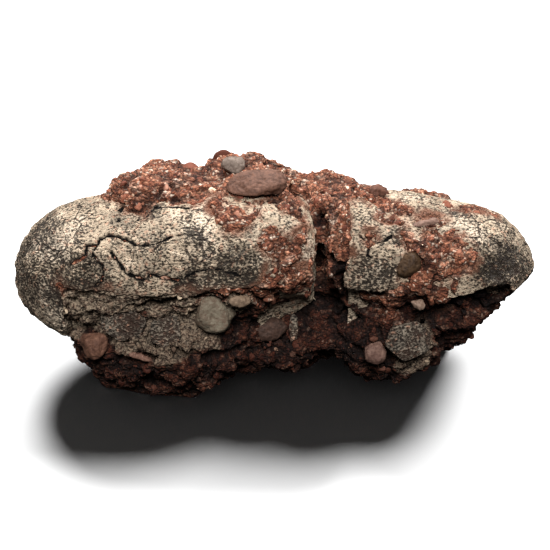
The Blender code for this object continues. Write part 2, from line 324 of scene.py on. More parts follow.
def cleft_depth(points):
    """How deep the clefts cut at each point, in metres."""
    depth = np.zeros(len(points))
    wobble = CLEFT_WOBBLE * ripple(points, 7 * MM, 9)
    for cleft in CLEFTS:
        line = [np.array(place) * MM for place in cleft.line]
        away = near_line(points, line) + wobble
        near = 1 - step(away, 0.35 * cleft.width * MM, 1.5 * cleft.width * MM)
        depth = np.maximum(depth, near * cleft.depth * MM)
    return depth


# Rock left on the shell: (egg, along, degrees, radius in mm).
Patch = namedtuple("Patch", "egg along degrees radius")
PATCHES = (
    Patch(LONG_EGG, 150, 50, 14), Patch(LONG_EGG, 147, 68, 13), Patch(LONG_EGG, 158, 30, 8),
    Patch(LONG_EGG, 120, 18, 7), Patch(LONG_EGG, 122, 6, 11), Patch(LONG_EGG, 141, 34, 6),
    Patch(LONG_EGG, 150, 92, 14), Patch(LONG_EGG, 137, 90, 9), Patch(LONG_EGG, 160, 78, 10),
    Patch(SHORT_EGG, 48, 18, 7), Patch(SHORT_EGG, 47, 32, 9), Patch(SHORT_EGG, 45, 48, 12),
    Patch(SHORT_EGG, 38, 58, 9), Patch(SHORT_EGG, 56, 36, 9), Patch(SHORT_EGG, 62, 48, 8),
    Patch(SHORT_EGG, 50, 62, 11), Patch(SHORT_EGG, 15, 32, 4), Patch(SHORT_EGG, 26, 8, 8),
    Patch(SHORT_EGG, 68, -10, 6), Patch(SHORT_EGG, 78, -16, 9), Patch(SHORT_EGG, 58, -14, 5),
)
# Where the rock is mostly crushed shell: (middle, radius), in mm in the object's frame.
CRUSHED = (
    ((-112, -42, 48), 15), ((-96, -48, 50), 14), ((-80, -52, 52), 17), ((-58, -54, 50), 18),
    ((-38, -52, 54), 15), ((-20, -48, 62), 9), ((-106, -40, 61), 11), ((-92, -44, 64), 12),
    ((-76, -46, 65), 12), ((-60, -48, 66), 11), ((-46, -48, 67), 8), ((74, -48, 34), 15),
    ((84, -42, 58), 8),
)
ROCK_LAP = 2.2 * MM
# How ragged the rock's edge is: each ripple's grain and height in mm, and its seed.
EDGE_RAGGED = ((20, 5.0, 1), (8, 3.2, 2), (3.5, 1.4, 3))


def rock_edge(points, rock_tree, egg_trees):
    """Metres from the rock's edge: below 0 where rock covers the shell, above 0 on bare shell."""
    to_rock = distance_to(rock_tree, points)
    to_egg = np.min([distance_to(tree, points) for tree in egg_trees], axis=0)
    edge = to_rock - to_egg - ROCK_LAP
    for patch in PATCHES:
        middle = on_egg(patch.egg, patch.along, patch.degrees)
        away = np.linalg.norm(points - middle, axis=1) - patch.radius * MM
        edge = np.minimum(edge, away)
    for grain, height, seed in EDGE_RAGGED:
        edge = edge + height * MM * ripple(points, grain * MM, seed)
    return edge


# Relief

# Each kind of cell's ledge: how far whole cells stand above or below each other, as a share of
# the kind's height.
LEDGES = {"Pebble": 0.9, "Grain": 0.8}


def weathering_tree():
    """Swells, angular pebbles, grains and pits, all along the normal and scaled by the relief
    attribute. It keeps its height in mm as the attribute lift."""
    tree = bpy.data.node_groups.new("weathered_surface", "GeometryNodeTree")
    face = tree.interface
    face.new_socket("Geometry", in_out="INPUT", socket_type="NodeSocketGeometry")
    for kind in ("Swell", "Pebble", "Grain", "Pit"):
        face.new_socket(kind + " Size", in_out="INPUT", socket_type="NodeSocketFloat")
        face.new_socket(kind + " Height", in_out="INPUT", socket_type="NodeSocketFloat")
    face.new_socket("Seed", in_out="INPUT", socket_type="NodeSocketFloat")
    face.new_socket("Material", in_out="INPUT", socket_type="NodeSocketMaterial")
    face.new_socket("Geometry", in_out="OUTPUT", socket_type="NodeSocketGeometry")
    given = node(tree, "NodeGroupInput").outputs
    place = node(tree, "GeometryNodeInputPosition")
    scale = {}
    for kind in ("Swell", "Pebble", "Grain", "Pit"):
        scale[kind] = node(tree, "ShaderNodeMath", {0: 1.0, 1: given[kind + " Size"]}, operation="DIVIDE")

    swell = node(tree, "ShaderNodeTexNoise",
                 {"Vector": place, "W": given["Seed"], "Scale": scale["Swell"], "Detail": 3.0,
                  "Roughness": 0.55}, noise_dimensions="4D")
    level = node(tree, "ShaderNodeMath", {0: swell, 1: -0.5}, operation="ADD")
    total = node(tree, "ShaderNodeMath", {0: level, 1: given["Swell Height"]}, operation="MULTIPLY")
    for kind, jump in LEDGES.items():
        cell = node(tree, "ShaderNodeTexVoronoi",
                    {"Vector": place, "W": given["Seed"], "Scale": scale[kind]},
                    voronoi_dimensions="4D", distance="MANHATTAN")
        slope = node(tree, "ShaderNodeMath", {0: cell.outputs["Distance"], 1: -0.7}, operation="MULTIPLY")
        dome = node(tree, "ShaderNodeMath", {0: slope, 1: 0.5}, operation="ADD")
        draw = node(tree, "ShaderNodeSeparateXYZ", {0: cell.outputs["Color"]})
        level = node(tree, "ShaderNodeMath", {0: draw, 1: -0.5}, operation="ADD")
        ledge = node(tree, "ShaderNodeMath", {0: level, 1: jump}, operation="MULTIPLY")
        shape = node(tree, "ShaderNodeMath", {0: dome, 1: ledge}, operation="ADD")
        high = node(tree, "ShaderNodeMath", {0: shape, 1: given[kind + " Height"]}, operation="MULTIPLY")
        total = node(tree, "ShaderNodeMath", {0: total, 1: high}, operation="ADD")
    pit = node(tree, "ShaderNodeTexNoise",
               {"Vector": place, "W": given["Seed"], "Scale": scale["Pit"], "Detail": 2.0},
               noise_dimensions="4D")
    deep = node(tree, "ShaderNodeMapRange",
                {"Value": pit, "From Min": 0.56, "From Max": 0.72, "To Min": 0.0, "To Max": -1.0})
    drop = node(tree, "ShaderNodeMath", {0: deep, 1: given["Pit Height"]}, operation="MULTIPLY")
    total = node(tree, "ShaderNodeMath", {0: total, 1: drop}, operation="ADD")
    relief = node(tree, "GeometryNodeInputNamedAttribute", {"Name": "relief"})
    total = node(tree, "ShaderNodeMath", {0: total, 1: relief}, operation="MULTIPLY")

    in_mm = node(tree, "ShaderNodeMath", {0: total, 1: 1 / MM}, operation="MULTIPLY")
    lift = node(tree, "GeometryNodeStoreNamedAttribute",
                {"Geometry": given["Geometry"], "Name": "lift", "Value": in_mm},
                data_type="FLOAT", domain="POINT")
    normal = node(tree, "GeometryNodeInputNormal")
    offset = node(tree, "ShaderNodeVectorMath", {0: normal, "Scale": total}, operation="SCALE")
    moved = node(tree, "GeometryNodeSetPosition", {"Geometry": lift, "Offset": offset})
    whole = node(tree, "GeometryNodeRealizeInstances", {"Geometry": moved})
    dressed = node(tree, "GeometryNodeSetMaterial", {"Geometry": whole, "Material": given["Material"]})
    node(tree, "NodeGroupOutput", {"Geometry": dressed})
    return tree


# The least and most that a grain's sides are scaled, and how many chips go across the largest.
FLATTEST = (0.55, 0.55, 0.45)
FULLEST = (1.25, 1.25, 0.95)
CHIPS_ACROSS = 1.6


def grit_tree():
    """Loose broken grains, scattered where the grit attribute is high. Each is a ball, squashed and
    turned at random and chipped by Jagged, and keeps its own tone. Facets is how finely the ball
    is divided."""
    tree = bpy.data.node_groups.new("scattered_grit", "GeometryNodeTree")
    face = tree.interface
    face.new_socket("Geometry", in_out="INPUT", socket_type="NodeSocketGeometry")
    for name in ("Density", "Smallest", "Largest", "Rarity", "Sink", "Jagged"):
        face.new_socket(name, in_out="INPUT", socket_type="NodeSocketFloat")
    face.new_socket("Facets", in_out="INPUT", socket_type="NodeSocketInt")
    face.new_socket("Seed", in_out="INPUT", socket_type="NodeSocketInt")
    face.new_socket("Material", in_out="INPUT", socket_type="NodeSocketMaterial")
    face.new_socket("Geometry", in_out="OUTPUT", socket_type="NodeSocketGeometry")
    given = node(tree, "NodeGroupInput").outputs
    wanted = node(tree, "GeometryNodeInputNamedAttribute", {"Name": "grit"})
    density = node(tree, "ShaderNodeMath", {0: wanted, 1: given["Density"]}, operation="MULTIPLY")
    spread = node(tree, "GeometryNodeDistributePointsOnFaces",
                  {"Mesh": given["Geometry"], "Density": density, "Seed": given["Seed"]})
    draw = node(tree, "FunctionNodeRandomValue", {"Seed": given["Seed"]}, data_type="FLOAT")
    rare = node(tree, "ShaderNodeMath", {0: draw.outputs[1], 1: given["Rarity"]}, operation="POWER")
    size = node(tree, "ShaderNodeMapRange",
                {"Value": rare, "To Min": given["Smallest"], "To Max": given["Largest"]})
    sunk = node(tree, "ShaderNodeMath", {0: size, 1: given["Sink"]}, operation="MULTIPLY")
    down = node(tree, "ShaderNodeVectorMath",
                {0: spread.outputs["Normal"], "Scale": sunk}, operation="SCALE")
    seats = node(tree, "GeometryNodeSetPosition", {"Geometry": spread, "Offset": down})
    ball = node(tree, "GeometryNodeMeshIcoSphere", {"Radius": 0.5, "Subdivisions": given["Facets"]})
    turn = node(tree, "FunctionNodeRandomValue",
                {0: (0.0, 0.0, 0.0), 1: (math.tau, math.tau, math.tau), "Seed": 3},
                data_type="FLOAT_VECTOR")
    shape = node(tree, "FunctionNodeRandomValue",
                 {0: FLATTEST, 1: FULLEST, "Seed": 4}, data_type="FLOAT_VECTOR")
    sides = node(tree, "ShaderNodeVectorMath", {0: shape, "Scale": size}, operation="SCALE")
    grains = node(tree, "GeometryNodeInstanceOnPoints",
                  {"Points": seats, "Instance": ball, "Rotation": turn, "Scale": sides})
    tone = node(tree, "FunctionNodeRandomValue", {"Seed": 5}, data_type="FLOAT")
    toned = node(tree, "GeometryNodeStoreNamedAttribute",
                 {"Geometry": grains, "Name": "tone", "Value": tone.outputs[1]},
                 data_type="FLOAT", domain="INSTANCE")
    whole = node(tree, "GeometryNodeRealizeInstances", {"Geometry": toned})
    place = node(tree, "GeometryNodeInputPosition")
    close = node(tree, "ShaderNodeMath", {0: CHIPS_ACROSS, 1: given["Largest"]}, operation="DIVIDE")
    rough = node(tree, "ShaderNodeTexNoise", {"Vector": place, "Scale": close})
    centred = node(tree, "ShaderNodeVectorMath",
                   {0: rough.outputs["Color"], 1: (0.5, 0.5, 0.5)}, operation="SUBTRACT")
    chips = node(tree, "ShaderNodeVectorMath", {0: centred, "Scale": given["Jagged"]}, operation="SCALE")
    broken = node(tree, "GeometryNodeSetPosition", {"Geometry": whole, "Offset": chips})
    dressed = node(tree, "GeometryNodeSetMaterial", {"Geometry": broken, "Material": given["Material"]})
    node(tree, "NodeGroupOutput", {"Geometry": dressed})
    return tree


def run_tree(obj, tree, values):
    """Gives the tree its inputs by name and replaces the object's mesh by the result."""
    modifier = obj.modifiers.new(tree.name, "NODES")
    modifier.node_group = tree
    for socket in tree.interface.items_tree:
        if socket.in_out == "INPUT" and socket.name in values:
            modifier[socket.identifier] = values[socket.name]
    bake_modifiers(obj)


WEATHERING = weathering_tree()
GRIT = grit_tree()


def weather(obj, material, seed, swell, pebble, grain, pit):
    """Gives the object its relief. Each of swell, pebble, grain and pit is (size, height) in mm."""
    values = {"Seed": float(seed), "Material": material}
    for kind, (size, height) in (("Swell", swell), ("Pebble", pebble), ("Grain", grain), ("Pit", pit)):
        values[kind + " Size"] = size * MM
        values[kind + " Height"] = height * MM
    run_tree(obj, WEATHERING, values)


# Materials

# A colour Mix node's inputs and output, which have numbers because their names repeat.
SHARE, UNDER, OVER, MIXED = 0, 6, 7, 2


def start_material(name):
    """An empty material, its tree, and the place on the piece that its patterns read."""
    made = bpy.data.materials.new(name)
    made.use_nodes = True
    made.node_tree.nodes.clear()
    return made, made.node_tree, node(made.node_tree, "ShaderNodeTexCoord").outputs["Object"]


def close_material(tree, colour, height, relief, roughness):
    """Joins the colour and the relief (in mm) to a matt stone shader."""
    bump = node(tree, "ShaderNodeBump", {"Height": height, "Distance": relief * MM, "Strength": 1.0})
    shader = node(tree, "ShaderNodeBsdfPrincipled",
                  {"Base Color": colour, "Roughness": roughness, "IOR": 1.5,
                   "Specular IOR Level": 0.15, "Normal": bump})
    node(tree, "ShaderNodeOutputMaterial", {"Surface": shader})


CHIP_BEND = 3.4 * MM
# The tint for the rock and its grit low down and in the clefts: partly a stain, partly painted shade.
STAIN_AND_PAINTED_SHADE = "#6A564E"


def conglomerate():
    """Red sandstone with broken gravel, naturally cemented and freshly broken: dull red-brown
    cement, flat cream and pink chips, dark pits between them, painted shade in its hollows and
    clefts, and darker low down, partly a stain and partly painted shade."""
    made, tree, place = start_material("red_conglomerate_broken")
    broad = node(tree, "ShaderNodeTexNoise", {"Vector": place, "Scale": across(28), "Detail": 5.0})
    colour = node(tree, "ShaderNodeValToRGB", {0: broad},
                  stops=((0.3, "#4E281A"), (0.5, "#8A543D"), (0.68, "#AE7358")))
    height = broad

    # Chips of two sizes, bent out of round and lying flat.
    warp = node(tree, "ShaderNodeTexNoise", {"Vector": place, "Scale": across(2.4), "Detail": 3.0})
    bent = node(tree, "ShaderNodeVectorMath",
                {0: warp.outputs["Color"], 1: (CHIP_BEND, CHIP_BEND, CHIP_BEND), 2: place},
                operation="MULTIPLY_ADD")
    flat = node(tree, "ShaderNodeMapping", {"Vector": bent, "Scale": (0.75, 0.9, 1.3)})
    for size, share in ((4.2, 0.5), (1.5, 0.55)):
        cell = node(tree, "ShaderNodeTexVoronoi",
                    {"Vector": flat, "Scale": across(size), "Randomness": 1.0})
        draw = node(tree, "ShaderNodeSeparateColor", {0: cell.outputs["Color"]})
        chips = node(tree, "ShaderNodeValToRGB", {0: draw},
                     stops=((0.0, "#381A11"), (0.25, "#78432F"), (0.5, "#925841"),
                            (0.74, "#AC7357"), (0.88, "#CC987A"), (0.97, "#F4DCC6")))
        colour = node(tree, "ShaderNodeMix", {SHARE: share, UNDER: colour, OVER: chips},
                      data_type="RGBA").outputs[MIXED]
        gap = node(tree, "ShaderNodeMapRange",
                   {"Value": cell.outputs["Distance"], "From Min": 0.38, "From Max": 0.68,
                    "To Min": 0.0, "To Max": 0.75})
        colour = node(tree, "ShaderNodeMix", {SHARE: gap, UNDER: colour, OVER: linear("#120805")},
                      data_type="RGBA").outputs[MIXED]
        fall = node(tree, "ShaderNodeMath", {0: cell.outputs["Distance"], 1: 0.8}, operation="MULTIPLY")
        height = node(tree, "ShaderNodeMath", {0: height, 1: fall}, operation="SUBTRACT")

    # Painted shade in the hollows of the relief, then crushed shell, then the darkening low down,
    # partly a stain and partly painted shade, and painted shade in the clefts.
    lift = node(tree, "ShaderNodeAttribute", attribute_name="lift")
    # Painted shade: the lower the relief, the darker the rock.
    hollow_painted_shade = node(tree, "ShaderNodeMapRange",
                  {"Value": lift.outputs["Fac"], "From Min": -0.1, "From Max": -2.2, "To Min": 0.0,
                   "To Max": 0.85})
    colour = node(tree, "ShaderNodeMix", {SHARE: hollow_painted_shade, UNDER: colour, OVER: linear("#180A06")},
                  data_type="RGBA").outputs[MIXED]
    crumbs = node(tree, "ShaderNodeTexNoise",
                  {"Vector": place, "Scale": across(1.3), "Detail": 3.0, "Roughness": 0.6})
    shell = node(tree, "ShaderNodeValToRGB", {0: crumbs},
                 stops=((0.4, "#2A231E"), (0.5, "#6F6354"), (0.62, "#9C8C77")))
    crushed = node(tree, "ShaderNodeAttribute", attribute_name="crushed")
    covered = node(tree, "ShaderNodeMath", {0: crushed.outputs["Fac"], 1: 0.85}, operation="MULTIPLY")
    colour = node(tree, "ShaderNodeMix", {SHARE: covered, UNDER: colour, OVER: shell},
                  data_type="RGBA").outputs[MIXED]
    # Darker low down, partly a stain and partly painted shade, and painted shade in the clefts.
    dark = node(tree, "ShaderNodeAttribute", attribute_name="dark")
    colour = node(tree, "ShaderNodeMix",
                  {SHARE: dark.outputs["Fac"], UNDER: colour, OVER: linear(STAIN_AND_PAINTED_SHADE)},
                  data_type="RGBA", blend_type="MULTIPLY").outputs[MIXED]
    close_material(tree, colour, height, relief=1.6, roughness=0.75)
    return made


CRACK_BEND = 1.2 * MM
SPECK_COVER = 0.93
EDGE_OF_SPECK = 0.11


def eggshell(name, pale, light, middle, dark):
    """Fossil calcite shell, matt and weathered, with fine raised ornament drawn out along the
    egg: pale tubercles on a dark ground, hair cracks, and red sediment rubbed in near the rock."""
    made, tree, place = start_material(name)

    # The tops of the ornament: clouds of pale and grey, with a little iron blush.
    patches = node(tree, "ShaderNodeTexNoise",
                   {"Vector": place, "Scale": across(26), "Detail": 4.0, "Roughness": 0.6})
    tops = node(tree, "ShaderNodeValToRGB", {0: patches},
                stops=((0.36, middle), (0.5, light), (0.66, pale)))
    patina = node(tree, "ShaderNodeAttribute", attribute_name="patina").outputs["Fac"]
    worn = node(tree, "ShaderNodeMath", {0: patina, 1: 0.15}, operation="MULTIPLY")
    tops = node(tree, "ShaderNodeMix", {SHARE: worn, UNDER: tops, OVER: linear(dark)},
                data_type="RGBA").outputs[MIXED]
    rosy = node(tree, "ShaderNodeTexNoise", {"Vector": place, "Scale": across(2.6), "Detail": 3.0})
    blush = node(tree, "ShaderNodeMapRange",
                 {"Value": rosy, "From Min": 0.56, "From Max": 0.66, "To Min": 0.0, "To Max": 0.55})
    tops = node(tree, "ShaderNodeMix", {SHARE: blush, UNDER: tops, OVER: linear("#B9876D")},
                data_type="RGBA").outputs[MIXED]

    # Dark ground between the tops, in specks about a millimetre across, denser under patina.
    drawn = node(tree, "ShaderNodeMapping", {"Vector": place, "Scale": (0.72, 1.0, 1.0)})
    bumps = node(tree, "ShaderNodeTexNoise",
                 {"Vector": drawn, "Scale": across(1.1), "Detail": 3.0, "Roughness": 0.6})
    patchy = node(tree, "ShaderNodeTexNoise", {"Vector": place, "Scale": across(12), "Detail": 4.0})
    reach = node(tree, "ShaderNodeMapRange",
                 {"Value": patchy, "From Min": 0.35, "From Max": 0.65, "To Min": 0.33, "To Max": 0.43})
    denser = node(tree, "ShaderNodeMath", {0: patina, 1: 0.1}, operation="MULTIPLY")
    reach = node(tree, "ShaderNodeMath", {0: reach, 1: denser}, operation="ADD")
    rise = node(tree, "ShaderNodeMath", {0: reach, 1: EDGE_OF_SPECK}, operation="ADD")
    between = node(tree, "ShaderNodeMapRange",
                   {"Value": bumps, "From Min": reach, "From Max": rise, "To Min": SPECK_COVER,
                    "To Max": 0.0})
    colour = node(tree, "ShaderNodeMix", {SHARE: between, UNDER: tops, OVER: linear(dark)},
                  data_type="RGBA").outputs[MIXED]
    # Painted shade: the low parts of the relief are darkened.
    lift = node(tree, "ShaderNodeAttribute", attribute_name="lift")
    hollow_painted_shade = node(tree, "ShaderNodeMapRange",
                  {"Value": lift.outputs["Fac"], "From Min": 0.1, "From Max": -0.8, "To Min": 0.0,
                   "To Max": 0.5})
    colour = node(tree, "ShaderNodeMix", {SHARE: hollow_painted_shade, UNDER: colour, OVER: linear(dark)},
                  data_type="RGBA").outputs[MIXED]

    # A net of hair cracks, in some places only.
    warp = node(tree, "ShaderNodeTexNoise", {"Vector": place, "Scale": across(3), "Detail": 2.0})
    bent = node(tree, "ShaderNodeVectorMath",
                {0: warp.outputs["Color"], 1: (CRACK_BEND, CRACK_BEND, CRACK_BEND), 2: place},
                operation="MULTIPLY_ADD")
    net = node(tree, "ShaderNodeTexVoronoi", {"Vector": bent, "Scale": across(11)},
               feature="DISTANCE_TO_EDGE")
    where = node(tree, "ShaderNodeTexNoise", {"Vector": place, "Scale": across(24)})
    width = node(tree, "ShaderNodeMapRange",
                 {"Value": where, "From Min": 0.5, "From Max": 0.62, "To Min": 0.0, "To Max": 0.035})
    hair = node(tree, "ShaderNodeMath", {0: net.outputs["Distance"], 1: width}, operation="LESS_THAN")
    faint = node(tree, "ShaderNodeMath", {0: hair, 1: 0.8}, operation="MULTIPLY")
    colour = node(tree, "ShaderNodeMix", {SHARE: faint, UNDER: colour, OVER: linear("#231B16")},
                  data_type="RGBA").outputs[MIXED]

    # Red soil near the rock, and the black of the open cracks.
    soil = node(tree, "ShaderNodeAttribute", attribute_name="soil")
    clumps = node(tree, "ShaderNodeMapRange", {"Value": patchy, "From Min": 0.4, "From Max": 0.56})
    dusty = node(tree, "ShaderNodeMath", {0: soil.outputs["Fac"], 1: clumps}, operation="MULTIPLY")
    colour = node(tree, "ShaderNodeMix", {SHARE: dusty, UNDER: colour, OVER: linear("#7E5643")},
                  data_type="RGBA").outputs[MIXED]
    crack = node(tree, "ShaderNodeAttribute", attribute_name="crack")
    split = node(tree, "ShaderNodeMapRange",
                 {"Value": crack.outputs["Fac"], "From Min": 0.15, "From Max": 0.5})
    colour = node(tree, "ShaderNodeMix", {SHARE: split, UNDER: colour, OVER: linear("#080504")},
                  data_type="RGBA").outputs[MIXED]

    ground = node(tree, "ShaderNodeMath", {0: between, 1: 0.5}, operation="MULTIPLY")
    height = node(tree, "ShaderNodeMath", {0: bumps, 1: ground}, operation="SUBTRACT")
    height = node(tree, "ShaderNodeMath", {0: height, 1: hair}, operation="SUBTRACT")
    close_material(tree, colour, height, relief=2.2, roughness=0.62)
    return made


def cobble_material(name, light, middle, dark, grain):
    """A water-worn cobble: fairly even, faintly mottled, with a fine gritty skin."""
    made, tree, place = start_material(name)
    clouds = node(tree, "ShaderNodeTexNoise",
                  {"Vector": place, "Scale": across(grain), "Detail": 6.0, "Roughness": 0.65})
    colour = node(tree, "ShaderNodeValToRGB", {0: clouds},
                  stops=((0.3, dark), (0.5, middle), (0.7, light)))
    specks = node(tree, "ShaderNodeTexVoronoi", {"Vector": place, "Scale": across(1.1)})
    draw = node(tree, "ShaderNodeSeparateColor", {0: specks.outputs["Color"]})
    tint = node(tree, "ShaderNodeValToRGB", {0: draw},
                stops=((0.0, dark), (0.45, middle), (0.9, light)))
    colour = node(tree, "ShaderNodeMix", {SHARE: 0.4, UNDER: colour, OVER: tint},
                  data_type="RGBA").outputs[MIXED]
    fall = node(tree, "ShaderNodeMath", {0: specks.outputs["Distance"], 1: 0.3}, operation="MULTIPLY")
    height = node(tree, "ShaderNodeMath", {0: clouds, 1: fall}, operation="SUBTRACT")
    close_material(tree, colour, height, relief=0.5, roughness=0.7)
    return made


def grit_material():
    """Broken grains of many rocks: most the red-brown of the cement, some cream, grey or pink, and
    shell-coloured where the shell is crushed."""
    made, tree, place = start_material("mixed_grit_broken")
    tone = node(tree, "ShaderNodeAttribute", attribute_name="tone").outputs["Fac"]
    colour = node(tree, "ShaderNodeValToRGB", {0: tone},
                  stops=((0.0, "#3E1E14"), (0.25, "#6C3D2E"), (0.5, "#86523E"), (0.72, "#986550"),
                         (0.84, "#B08470"), (0.9, "#857A6A"), (0.95, "#D6AC8E"),
                         (0.99, "#F4DABD")))
    clouds = node(tree, "ShaderNodeTexNoise", {"Vector": place, "Scale": across(1.5), "Detail": 3.0})
    shade = node(tree, "ShaderNodeMapRange",
                 {"Value": clouds, "From Min": 0.35, "From Max": 0.65, "To Min": 0.35, "To Max": 0.0})
    colour = node(tree, "ShaderNodeMix", {SHARE: shade, UNDER: colour, OVER: linear("#4A2A20")},
                  data_type="RGBA").outputs[MIXED]
    crushed = node(tree, "ShaderNodeAttribute", attribute_name="crushed")
    covered = node(tree, "ShaderNodeMath", {0: crushed.outputs["Fac"], 1: 0.85}, operation="MULTIPLY")
    shell = node(tree, "ShaderNodeValToRGB", {0: tone},
                 stops=((0.0, "#2A231E"), (0.4, "#574C40"), (0.8, "#8E7F6B"), (1.0, "#B3A087")))
    colour = node(tree, "ShaderNodeMix", {SHARE: covered, UNDER: colour, OVER: shell},
                  data_type="RGBA").outputs[MIXED]
    # Darker low down, partly a stain and partly painted shade, and painted shade in the clefts, as on the
    # rock.
    dark = node(tree, "ShaderNodeAttribute", attribute_name="dark")
    colour = node(tree, "ShaderNodeMix",
                  {SHARE: dark.outputs["Fac"], UNDER: colour, OVER: linear(STAIN_AND_PAINTED_SHADE)},
                  data_type="RGBA", blend_type="MULTIPLY").outputs[MIXED]
    close_material(tree, colour, clouds, relief=0.4, roughness=0.75)
    return made


# Pieces

def finish_piece(obj, *nodes, slot):
    """A smooth-shaded piece of the body that stands for those nodes."""
    for polygon in obj.data.polygons:
        polygon.use_smooth = True
    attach(obj, "root")
    if nodes:
        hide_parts(*nodes)
    return obj


ROCK = conglomerate()
SHELL = eggshell("fossil_eggshell_weathered", "#D6C3AC", "#BCA890", "#968774", "#15100D")
DARK_SHELL = eggshell("fossil_eggshell_dark", "#A89A88", "#857A6C", "#5F564C", "#1C1815")
GRAINS = grit_material()

EGG_VOXEL = 0.78 * MM
EGG_SMOOTHING = 60
# How far the shell sinks under rock, and how far from the rock's edge that starts and ends.
SHELL_SUNK = 1.6 * MM
SHELL_EDGE = (-0.6 * MM, 0.4 * MM)

# The red soil rubbed into the shell: how far from the rock, and how high on the egg it starts.
SOIL_REACH = (0.0, 5 * MM)
SOIL_HEIGHT = (68 * MM, 82 * MM)

# Darker, more pitted shell: (egg, along, degrees, radius in mm).
PATINA = (
    Patch(LONG_EGG, 9, 60, 24), Patch(LONG_EGG, 26, 72, 15), Patch(LONG_EGG, 20, 10, 10),
    Patch(LONG_EGG, 44, 62, 10), Patch(LONG_EGG, 104, 66, 13), Patch(LONG_EGG, 122, 58, 15),
    Patch(LONG_EGG, 74, 4, 9), Patch(LONG_EGG, 100, 30, 6), Patch(LONG_EGG, 88, 80, 12),
    Patch(SHORT_EGG, 14, 62, 14), Patch(SHORT_EGG, 84, 58, 18), Patch(SHORT_EGG, 30, 30, 6),
    Patch(SHORT_EGG, 98, 70, 12), Patch(SHORT_EGG, 62, 2, 7),
)


def patina(egg, points):
    """1 on the dark pitted parts of the shell, 0 on the pale parts."""
    dark = np.zeros(len(points))
    for patch in PATINA:
        if patch.egg is egg:
            away = np.linalg.norm(points - on_egg(egg, patch.along, patch.degrees), axis=1)
            dark = np.maximum(dark, 1 - step(away, 0.4 * patch.radius * MM, 1.4 * patch.radius * MM))
    return dark


# The shell's broken lower edge: its height, how far above and below it the bend reaches, between
# which depths the bend fades out, how much it bends, and each ripple's grain in mm, share and seed.
SHELF_HEIGHT = 68 * MM
SHELF_BAND = 9 * MM
SHELF_FRONT = (-32 * MM, -16 * MM)
SHELF_WAVE = 5.5 * MM
SHELF_GRAINS = ((24, 1.0, 12), (9, 0.45, 13))


def wave_shelf(obj, points):
    """Bends the broken lower edge of the shell up and down, and the rock with it."""
    near = np.exp(-((points[:, 2] - SHELF_HEIGHT) / SHELF_BAND) ** 2)
    near = near * (1 - step(points[:, 1], *SHELF_FRONT))
    moved = points_of(obj)
    for grain, share, seed in SHELF_GRAINS:
        moved[:, 2] += SHELF_WAVE * share * near * ripple(points, grain * MM, seed)
    obj.data.vertices.foreach_set("co", moved.astype(np.float32).ravel())
    obj.data.update()


def make_egg(egg, rock_tree):
    """The shell of one egg, cracked and worn, and sunk a little where rock lies over it."""
    obj = copy_of_nodes(egg.node + "_shell", egg.node)
    remesh(obj, EGG_VOXEL, EGG_SMOOTHING)
    points = points_of(obj)
    edge = rock_edge(points, rock_tree, [egg.tree])
    under_rock = 1 - step(edge, *SHELL_EDGE)
    inside, depth = crack_field(egg, points)
    dark = patina(egg, points)
    store(obj, "crack", inside * (1 - under_rock))
    store(obj, "soil", (1 - step(edge, *SOIL_REACH)) * step(points[:, 2], *SOIL_HEIGHT))
    store(obj, "patina", dark)
    store(obj, "relief", (1 + 0.5 * dark) * (1 - 0.7 * under_rock))
    wave_shelf(obj, points)
    weather(obj, SHELL, 3, swell=(16, 1.6), pebble=(5, 0.5), grain=(2.3, 0.35), pit=(7, 0.9))
    push(obj, -depth - SHELL_SUNK * under_rock)
    return finish_piece(obj, egg.node, slot=SLOTS[egg.node])


ROCK_VOXEL = 1.22 * MM
ROCK_SMOOTHING = 10
ROCK_UNDER_SHELL = 2.4 * MM

# Where each change starts and ends: by distance from the rock's edge, by height above the floor,
# and by depth in a cleft.
BARE_SHELL = (-0.5 * MM, 0.8 * MM)
OPEN_ROCK = (-0.2 * MM, 0.2 * MM)
NEAR_FLOOR = (0.5 * MM, 5 * MM)
LOW_ROCK = (44 * MM, 72 * MM)
NO_GRIT_DEPTH = (1 * MM, 3 * MM)
DARK_DEPTH = (1 * MM, 6 * MM)

# How strongly the low rock is darkened, partly a real stain and partly painted shade, and how
# much rougher it is.
LOW_DARKNESS = 0.95
LOW_RELIEF = 0.4

# How ragged the crushed shell's edge is: each ripple's grain and height in mm, and its seed.
CRUSHED_RAGGED = ((9, 5, 6), (3, 2.5, 7))
CRUSHED_EDGE = (-1.5 * MM, 1.5 * MM)


def crushed_shell(points):
    """1 where the rock is full of crushed shell, 0 where it is plain."""
    edge = np.full(len(points), np.inf)
    for middle, radius in CRUSHED:
        away = np.linalg.norm(points - np.array(middle) * MM, axis=1) - radius * MM
        edge = np.minimum(edge, away)
    for grain, height, seed in CRUSHED_RAGGED:
        edge = edge + height * MM * ripple(points, grain * MM, seed)
    return 1 - step(edge, *CRUSHED_EDGE)


